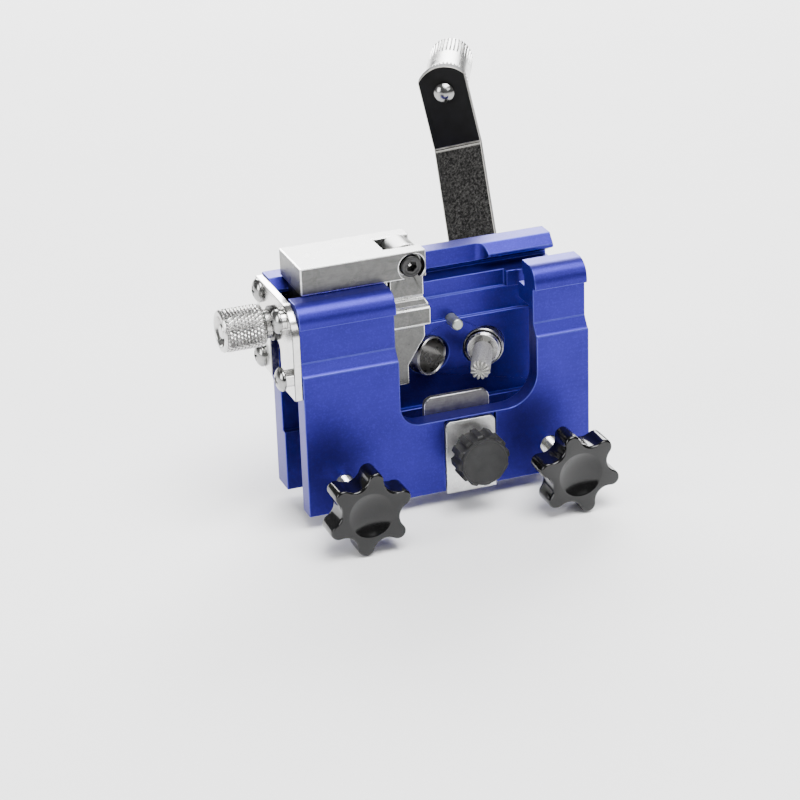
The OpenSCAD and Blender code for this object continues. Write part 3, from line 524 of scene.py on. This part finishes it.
def refined(node, name, body, material, width=0.15, steps=2, edge=None, lit_top=None):
    """A copy of a CAD node's mesh with its sharp edges broken.

    The broken edges may have a material of their own, which on most pieces paints a highlight along
    them, and the upper faces may have a lighter copy of the material, painted light from above.
    """
    weld, facing_up = 0.002, 0.5
    bm = bmesh.new()
    bm.from_mesh(nodes[node].data)
    bmesh.ops.scale(bm, vec=(PER_METRE, PER_METRE, PER_METRE), verts=bm.verts)
    bmesh.ops.remove_doubles(bm, verts=bm.verts, dist=weld)
    merge_flats(bm)
    # A bevel folds wide concave faces, so it works on triangles
    wide = [f for f in bm.faces if len(f.verts) > 4]
    bmesh.ops.triangulate(bm, faces=wide, ngon_method="BEAUTY")
    mesh = bpy.data.meshes.new(name)
    bm.to_mesh(mesh)
    bm.free()
    mesh.materials.clear()
    mesh.materials.append(material)
    if edge:
        mesh.materials.append(edge)
    mesh.polygons.foreach_set("material_index", [0] * len(mesh.polygons))
    piece = new_object(name, mesh)
    bevel = piece.modifiers.new("edges", "BEVEL")
    if edge:
        bevel.material = 1
    bevel.width = width
    bevel.segments = steps
    bevel.limit_method = "ANGLE"
    bevel.angle_limit = math.radians(BEVEL_ANGLE)
    bevel.use_clamp_overlap = False
    apply_modifiers(piece)
    bm = bmesh.new()
    bm.from_mesh(piece.data)
    merge_flats(bm, delimit={"MATERIAL"})
    bm.to_mesh(piece.data)
    bm.free()
    soften(piece.data, SMOOTH_ANGLE)
    flat = piece.modifiers.new("flat_faces", "WEIGHTED_NORMAL")
    flat.mode = "FACE_AREA"
    flat.weight = 100
    flat.keep_sharp = True
    apply_modifiers(piece)
    # Faces turned upwards take a lighter copy of the material: painted light from above
    if lit_top:
        piece.data.materials.append(lit_top)
        for face in piece.data.polygons:
            if face.normal.z > facing_up and face.material_index == 0:
                face.material_index = len(piece.data.materials) - 1
    piece.data.transform(Matrix.Scale(MM, 4))
    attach(piece, body)
    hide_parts(node)


# Milled, turned and sheet-metal pieces, from the CAD's own meshes

refined("body", "body_shell", "frame", BLUE, width=0.22, edge=BLUE_WORN_LIT_EDGE)
# The bright plate's broken edges are dark steel: painted shade along its rim
refined("end_plate", "end_plate_bright", "frame", BRIGHT, width=0.2, edge=DARK)
# The sleeves' broken edges take the lighter spindle steel: painted highlight on their rims
refined("left_bushing", "left_sleeve", "frame", DARK, width=0.12, edge=NOSE)
refined("right_bushing", "right_sleeve", "frame", DARK, width=0.12, edge=NOSE)
refined("end_plate_spacers", "end_plate_stacks", "frame", BRIGHT)
refined("adjuster_washer", "black_washer", "frame", BLACKED, width=0.2, steps=3)
refined("stop_pin", "flat_ended_pin", "frame", PIN, width=0.08)
refined("slider_block", "silver_block", "slider", MILLED, width=0.3,
        edge=MILLED_EDGE_HIGHLIGHT, lit_top=MILLED_LIT_TOP)
refined("pawl", "silver_pawl", "pawl_arm", SATIN, width=0.3,
        edge=MILLED_EDGE_HIGHLIGHT, lit_top=MILLED_LIT_TOP)
refined("adjuster_collar", "screw_collar", "adjuster", DARK)
refined("height_plate", "stop_plate", "height_stop", PLATE, edge=MILLED_EDGE_HIGHLIGHT)
refined("chain_rest", "dull_plate", "height_stop", DULL, edge=MILLED_EDGE_HIGHLIGHT)
refined("spindle", "turning_spindle", "crank", NOSE, width=0.12, edge=MILLED_EDGE_HIGHLIGHT)
refined("burr_set_screw", "grub_screw", "crank", BLACKED, width=0.05)
refined("crank_washer", "flat_washer", "crank", BRIGHT, width=0.12)
refined("crank_nut", "hex_nut", "crank", FASTENER, width=0.25, steps=3)
refined("handle_screw", "handle_axle", "crank", BRIGHT)
refined("handle_dome_nut", "dome_nut", "crank", FASTENER, width=0.1)
refined("handle_washer", "handle_ring", "crank", BRIGHT, width=0.1)
refined("crank_arm", "bent_arm", "crank", ARM_BLACK, width=0.2, edge=ARM_EDGE)

# Screws of the end plate, as (depth from the front face, height, stand-off from the plate)

SCREWS = ((25.0, 52.3, 0.0), (6.0, 51.2, 1.4), (2.6, 37.4, 2.2), (26.0, 34.5, 0.0))
END_X, MID_Y, PLATE_T = -38.0, 15.0, 2.0
HEAD_R, RIM_H, DOME_H, SHANK_R, SHANK_L = 3.05, 0.9, 1.1, 1.3, 8.0
CROSS_L, CROSS_W, CROSS_TAPER, CROSS_FLOOR, CROSS_MOUTH = 1.5, 0.34, 0.45, -0.5, -2.4
FIRST_TURN = 0.4
corner = [(CROSS_W, CROSS_W), (CROSS_L, CROSS_W), (CROSS_L, -CROSS_W)]
cross = []
for quarter in range(4):
    cross += corner
    corner = [(y, -x) for x, y in corner]
cross_rows = [[(a * CROSS_TAPER, b * CROSS_TAPER, CROSS_FLOOR) for a, b in cross],
              [(a, b, CROSS_MOUTH) for a, b in cross]]
for number, (y, z, stand_off) in enumerate(SCREWS, 1):
    end = SHANK_L + stand_off
    profile = [(0, end), (SHANK_R - 0.3, end), (SHANK_R, end - 0.4), (SHANK_R, 0)]
    profile += rounded([(SHANK_R, 0), (HEAD_R, 0), (HEAD_R, -RIM_H * 0.8),
                        (HEAD_R * 0.8, -RIM_H - DOME_H * 0.45),
                        (HEAD_R * 0.45, -RIM_H - DOME_H * 0.92),
                        (0, -RIM_H - DOME_H)], 0.5, 5)
    head = cut(lathe(profile, 48), skin(cross_rows, caps=True))
    # Faces inside the cross recess take black oxide: painted shade in the recess
    for face in head.faces:
        middle = face.calc_center_median()
        in_recess = middle.xy.length < CROSS_L + 0.1 and -1.7 < middle.z < -0.05
        if in_recess:
            face.material_index = 1
    seat_x = END_X - PLATE_T - stand_off
    seat = axis_matrix((seat_x * MM, (y - MID_Y) * MM, z * MM), (1, 0, 0), FIRST_TURN + number)
    place(f"plate_screw_{number}", head, seat, "frame", FASTENER, "plated_steel",
          ("end_plate_screws",), recess_shade=BLACKED)

# Socket-head screw of the pawl

PIVOT_HEAD_R, PIVOT_HEAD_H, PIVOT_R = 2.8, 2.4, 1.5
SOCKET_R, SOCKET_DEPTH, SOCKET_TURN = 1.45, 1.5, math.radians(15)
STEP_R, FACE_R, FACE_DEPTH = 2.05, 1.85, 0.12
low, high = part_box("pawl_pivot_screw")
y0, y1 = low.y / MM, high.y / MM
profile = rounded([(0, y1), (PIVOT_R, y1), (PIVOT_R, y0 + PIVOT_HEAD_H),
                   (PIVOT_HEAD_R, y0 + PIVOT_HEAD_H), (PIVOT_HEAD_R, y0 + 0.3),
                   (PIVOT_HEAD_R - 0.35, y0), (STEP_R, y0), (FACE_R, y0 + FACE_DEPTH),
                   (FACE_R - 0.1, y0 + FACE_DEPTH), (0, y0 + FACE_DEPTH)], 0.12, 2)
cos_turn, sin_turn = math.cos(SOCKET_TURN), math.sin(SOCKET_TURN)
hexagon = [(x * cos_turn - y * sin_turn, x * sin_turn + y * cos_turn)
           for x, y, z in ring(SOCKET_R, 0, 6)]
socket_rows = [[(x, y, y0 - 1) for x, y in hexagon],
               [(x, y, y0 + SOCKET_DEPTH) for x, y in hexagon]]
head = cut(lathe(profile, 72), skin(socket_rows, caps=True))
at = depth_matrix("pawl_swing")
place("pivot_socket_screw", head, at, "slider", BLACKED, "black_steel", ("pawl_pivot_screw",))
# A bright cone at the bottom of the hex socket: a painted highlight in the black screw
socket_highlight_profile = [(0, y0 + 1.15), (0.35, y0 + 1.2), (0.75, y0 + 1.45), (0.8, y0 + SOCKET_DEPTH)]
place("pivot_socket_highlight", lathe(socket_highlight_profile, 24), at, "slider", BRIGHT, "black_steel")

# Cutter: a gritty rod with a toothed end, measured on the CAD's mesh along the crank's axis

CUTTER_SIDES, CUTTER_STEPS = 144, 40
FLUTES_IN_HALF_TURN, FLUTE_DEPTH, FLUTE_REACH = 6, 0.45, 2.6
GRIT_SCALE, GRIT_DEPTH = 2.2, 0.07
END_HOLLOW, TOOTH_DEPTH = 0.5, 0.7
END_FORM = ((0.14, 0.45), (0.3, 0.12), (0.5, 0.05), (0.7, 0.04), (0.84, 0.14), (0.94, 0.34),
            (1.0, 0.7))
end_depth = END_FORM[-1][1]

spin = joints["crank_spin"]
point, axis = Vector(spin["pos_m"]), Vector(spin["axis"]).normalized()
away = [v.co - point for v in nodes["burr"].data.vertices]
reach = [(d.dot(axis) / MM, d.cross(axis).length / MM) for d in away]
tip, inner_end = min(t for t, r in reach), max(t for t, r in reach)
burr_r = max(r for t, r in reach)
nose = max(t for t, r in reach if r > burr_r * 0.9)
shank_r = max(r for t, r in reach if t > nose + 1)


def ridge(turn):
    """0 in the middle of a flute and 1 between two flutes."""
    return abs(math.sin(FLUTES_IN_HALF_TURN * turn)) ** 0.5


def cutter_radius(t, turn, base):
    """Radius at a distance from the tip, with grit and with flutes near the tip."""
    grain = noise.noise(Vector((base * GRIT_SCALE * math.cos(turn),
                                base * GRIT_SCALE * math.sin(turn), t * GRIT_SCALE)))
    flute = (1 - ridge(turn)) * FLUTE_DEPTH * max(0.0, 1 - t / FLUTE_REACH)
    return base * (1 - flute) - GRIT_DEPTH * (1 + grain)


rows = [ring(0, tip + END_HOLLOW, CUTTER_SIDES)]
for share, lift in END_FORM:
    row = []
    for turn in turns(CUTTER_SIDES):
        tooth = (1 - ridge(turn)) * TOOTH_DEPTH * share
        row.append(polar(cutter_radius(lift, turn, burr_r * share), turn, tip + lift + tooth))
    rows.append(row)
for k in range(1, CUTTER_STEPS + 1):
    t = end_depth + (nose - tip - end_depth) * k / CUTTER_STEPS
    rows.append([polar(cutter_radius(t, turn, burr_r), turn, tip + t)
                 for turn in turns(CUTTER_SIDES)])
for r, z in ((burr_r - 0.5, nose + 0.4), (shank_r, nose + 0.6), (shank_r, inner_end),
             (0, inner_end)):
    rows.append(ring(r, z, CUTTER_SIDES))
place("round_cutter", skin(rows), axis_matrix(point, axis), "crank", GRIT, "burr_grit",
      ("burr",), angle=50)

# Adjuster: knurled knob and lead screw

PITCH = 0.8
TEETH, FINE, KNURL_LEAD = 30, 6, 1.75
GRIP_R, GRIP_L, NECK_R, LEAD_SCREW_R = 5.4, 11, 3.6, 2.5
spin = joints["adjuster_spin"]
low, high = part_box("adjuster_knob")
knob = axis_matrix((0, spin["pos_m"][1], spin["pos_m"][2]), (1, 0, 0))
x0, x1 = low.x / MM, high.x / MM
grip_end = x0 + GRIP_L
sides = TEETH * FINE
rows = turned([(0, x0 + 0.25), (1.6, x0 + 0.25), (2.0, x0 + 0.6), (2.0, x0 + 1.5),
               (3.5, x0 + 1.5), (3.7, x0 + 0.8), (4.0, x0), (5.0, x0), (5.35, x0 + 0.5)],
              0.2, 3, sides)
rows += knurl_rings(GRIP_R, 0.5, TEETH, KNURL_LEAD, x0 + 0.75, grip_end - 0.7, FINE)
rows += turned([(5.3, grip_end - 0.5), (4.7, grip_end), (NECK_R, grip_end), (NECK_R, x1),
                (LEAD_SCREW_R, x1)], 0.25, 3, sides)
rows += [ring(LEAD_SCREW_R, x1 - 1.0, sides), ring(0, x1 - 1.0, sides)]
place("knurled_adjuster", skin(rows), knob, "adjuster", KNURLED, "milled_metal",
      ("adjuster_knob",), angle=50)
low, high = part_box("lead_screw")
thread = helix_rod(LEAD_SCREW_R, 0.42, PITCH, low.x / MM, high.x / MM)
place("threaded_lead_screw", thread, knob, "adjuster", BRIGHT, "plated_steel", ("lead_screw",))

# Clamp knobs: six lobes joined by round valleys, with a dished front

STAR_R, LOBE_R, CORE_R = 11.0, 1.95, 7.6
DISH_R, DISH_DEPTH = 11.44, 1.6
STUD_R, BOSS_H, STAR_SIDES = 2.45, 2.6, 240
DISH_EDGE = math.sqrt(DISH_R ** 2 - (DISH_R - DISH_DEPTH) ** 2)
OUT = STAR_R - LOBE_R
C30 = math.cos(math.radians(30))
VALLEY_R = ((OUT ** 2 + CORE_R ** 2 - 2 * OUT * CORE_R * C30 - LOBE_R ** 2)
            / (2 * (OUT * C30 - CORE_R + LOBE_R)))
VALLEY_OUT = CORE_R + VALLEY_R
lobe_c = Vector((OUT, 0))
valley_c = Vector((VALLEY_OUT * C30, VALLEY_OUT * 0.5))
touch = lobe_c + (valley_c - lobe_c).normalized() * LOBE_R
SPLIT = math.atan2(touch.y, touch.x)


def star_radius(t):
    """The lobe's circle up to the turn where the valley's circle touches it."""
    t = abs((t + math.pi / 6) % (math.pi / 3) - math.pi / 6)
    if t < SPLIT:
        return OUT * math.cos(t) + math.sqrt(max(0.0, LOBE_R ** 2 - (OUT * math.sin(t)) ** 2))
    t = math.pi / 6 - t
    inside = max(0.0, VALLEY_R ** 2 - (VALLEY_OUT * math.sin(t)) ** 2)
    return VALLEY_OUT * math.cos(t) - math.sqrt(inside)


def star(side, turn):
    low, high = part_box(f"{side}_star_knob")
    y0, y1 = low.y / MM, high.y / MM
    back = y1 - BOSS_H
    boss = [(None, STUD_R, back + 0.5), (None, STUD_R, y1), (None, 4.9, y1),
            (None, 5.2, y1 - 0.3), (None, 5.28, back + 0.3), (None, 5.6, back)]
    lobes = [(1.6, 0, back), (0.7, 0, back - 0.02), (0.25, 0, back - 0.2), (0.05, 0, back - 0.5),
             (0.0, 0, back - 0.9), (0.0, 0, y0 + 0.9), (0.05, 0, y0 + 0.5), (0.2, 0, y0 + 0.2),
             (0.42, 0, y0 + 0.05), (0.7, 0, y0)]
    dish = [(None, DISH_EDGE + 0.12, y0), (None, DISH_EDGE, y0 + 0.03)]
    for part in (0.96, 0.88, 0.78, 0.65, 0.5, 0.34, 0.17):
        r = DISH_EDGE * part
        dish.append((None, r, y0 + math.sqrt(DISH_R ** 2 - r * r) - DISH_R + DISH_DEPTH))
    dish.append((None, 0, y0 + DISH_DEPTH))
    grip = shaped_lathe(star_radius, boss + lobes + dish, STAR_SIDES)
    place(f"{side}_star_grip", grip, depth_matrix(f"{side}_knob_spin", turn), f"{side}_knob",
          GLOSS, "gloss_black_plastic", (f"{side}_star_knob",), angle=30)
    low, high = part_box(f"{side}_clamp_stud")
    stud = helix_rod(STUD_R, 0.42, PITCH, low.y / MM, high.y / MM)
    place(f"{side}_threaded_stud", stud, depth_matrix(f"{side}_knob_spin"), f"{side}_clamp",
          BRIGHT, "plated_steel", (f"{side}_clamp_stud",))


star("left", 40)
star("right", 17)

# Centre knob and its screw; the bore stays clear of the thread

KNOB_R, FLUTES, FLUTE_SIDES, KNOB_TURN = 7.0, 12, 24, 8
SCREW_R = 2.5
BORE_R = SCREW_R + 0.06
low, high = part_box("centre_knob")
y0, y1 = low.y / MM, high.y / MM


def flute_radius(t):
    step = 2 * math.pi / FLUTES
    t = (t + step / 2) % step - step / 2
    dip = max(0.0, 1 - (t / (step * 0.27)) ** 2)
    return KNOB_R - 0.95 * math.sqrt(dip)


bore_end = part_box("centre_screw")[0].y / MM - 0.05
neck = [(None, 0, bore_end), (None, BORE_R, bore_end), (None, BORE_R, y1),
        (None, 4.4, y1), (None, 4.62, y1 - 0.25), (None, 4.62, y1 - 2.9)]
flutes = [(1.7, 0, y1 - 3.0), (0.5, 0, y1 - 3.05), (0.15, 0, y1 - 3.25), (0.0, 0, y1 - 3.7),
          (0.0, 0, y0 + 1.5), (0.08, 0, y0 + 1.2), (0.3, 0, y0 + 0.98)]
face = [(None, r, y0 + depth) for r, depth in (
    (6.05, 0.9), (6.05, 0.7), (6.19, 0.6), (6.19, 0.25), (6.1, 0.06), (5.95, 0), (5.75, 0),
    (5.65, 0.06), (5.6, 0.18), (4.0, 0.18), (2.0, 0.18), (0, 0.18))]
at = depth_matrix("stop_knob_spin", KNOB_TURN)
place("fluted_knob", shaped_lathe(flute_radius, neck + flutes + face, FLUTES * FLUTE_SIDES), at,
      "stop_knob", MATTE, "matte_black_plastic", ("centre_knob",), angle=40)
low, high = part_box("centre_screw")
thread = helix_rod(SCREW_R, 0.4, PITCH, low.y / MM, high.y / MM)
place("threaded_centre_screw", thread, at, "stop_screw", BRIGHT, "plated_steel",
      ("centre_screw",))

# Handle: straight knurl by the arm and at the far end, plain band between

RIDGES, FINE = 36, 8
HANDLE_R, AXLE_R, CUP_R, CUP_DEPTH = 5.95, 2.06, 4.3, 4
z0, z1 = 0.7, 27.7
spin = joints["handle_spin"]
sides = RIDGES * FINE
rows = turned([(AXLE_R, z0 + 5), (AXLE_R, z0), (HANDLE_R - 0.6, z0), (HANDLE_R - 0.05, z0 + 0.5)],
              0.2, 3, sides)
rows += groove_rings(HANDLE_R, 0.35, RIDGES, FINE, z0 + 0.6, z0 + 3.8)
rows += turned([(HANDLE_R, z0 + 4.0), (HANDLE_R, z0 + 14.5)], 0.1, 4, sides)
rows += groove_rings(HANDLE_R, 0.4, RIDGES, FINE, z0 + 14.7, z1 - 1.0)
rows += turned([(HANDLE_R - 0.05, z1 - 0.8), (HANDLE_R - 0.8, z1), (CUP_R, z1),
                (CUP_R, z1 - CUP_DEPTH), (AXLE_R, z1 - CUP_DEPTH), (AXLE_R, z1 - 9)],
               0.25, 3, sides)
rows += [ring(AXLE_R, z0 + 5, sides)]
place("knurled_handle", skin(rows), axis_matrix(spin["pos_m"], spin["axis"]), "grip", KNURLED,
      "milled_metal", ("handle",), angle=50)

# Floor, light and camera

FLOOR_REACH, FLOOR_GAP = 3.0, 0.0002
floor_z = min(cad_box[0][2], 0.0) - FLOOR_GAP
bm = bmesh.new()
bmesh.ops.create_grid(bm, x_segments=4, y_segments=4, size=FLOOR_REACH)
mesh = bpy.data.meshes.new("floor")
bm.to_mesh(mesh)
bm.free()
mesh.transform(Matrix.Translation((0, 0, floor_z)))
s = Shader("pale_floor")
fine = s.noise(0.02, detail=4.0)
tint = s.blend(s.span(fine, 0.3, 0.7, 0.0, 1.0), (0.93, 0.93, 0.935, 1), (0.95, 0.95, 0.95, 1))
s.bump([(fine, 0.02, 0.05)])
mesh.materials.append(s.set(Base_Color=tint, Roughness=0.7))
floor = new_object("floor", mesh)

world = bpy.data.worlds.new("studio")
bpy.context.scene.world = world
world.use_nodes = True
sky = world.node_tree.nodes["Background"]
sky.inputs["Color"].default_value = (1.0, 1.0, 1.0, 1.0)
sky.inputs["Strength"].default_value = 0.2

LIGHTS_AIM = Vector((0, 0, 0.03))


def softbox(name, at, size, power):
    light = bpy.data.lights.new(name, "AREA")
    light.shape = "RECTANGLE"
    light.size, light.size_y = size
    light.energy = power
    piece = bpy.data.objects.new(name, light)
    bpy.context.scene.collection.objects.link(piece)
    piece.location = at
    piece.rotation_euler = (LIGHTS_AIM - Vector(at)).to_track_quat("-Z", "Y").to_euler()


softbox("top_box", (0.1, -0.25, 0.8), (0.6, 0.5), 15)
softbox("back_box", (0.3, 0.95, 0.6), (1.2, 0.5), 38)
softbox("front_box", (0.4, -1.0, 0.7), (0.6, 0.35), 3)
softbox("left_box", (-0.75, -0.1, 0.35), (0.35, 0.5), 5)

# The photograph's camera, fitted to the body's edges
FOCAL_PX, PHOTO_PX, SENSOR_MM = 2721.42, 800, 36.0
CAMERA_RIGHT = (0.93504029, -0.35306921, -0.03227689)
CAMERA_UP = (0.17109372, 0.36961926, 0.91329543)
CAMERA_BACK = (-0.31052633, -0.8594904, 0.40601682)
CAMERA_AT = (-0.222228, -0.593778, 0.300856)
camera = bpy.data.cameras.new("photo_camera")
camera.sensor_width = SENSOR_MM
camera.lens = FOCAL_PX / PHOTO_PX * SENSOR_MM
camera.clip_start = 0.01
camera.clip_end = 20.0
camera_object = bpy.data.objects.new("photo_camera", camera)
bpy.context.scene.collection.objects.link(camera_object)
view = Matrix((CAMERA_RIGHT, CAMERA_UP, CAMERA_BACK)).transposed().to_4x4()
view.translation = Vector(CAMERA_AT)
camera_object.matrix_world = view
bpy.context.scene.camera = camera_object
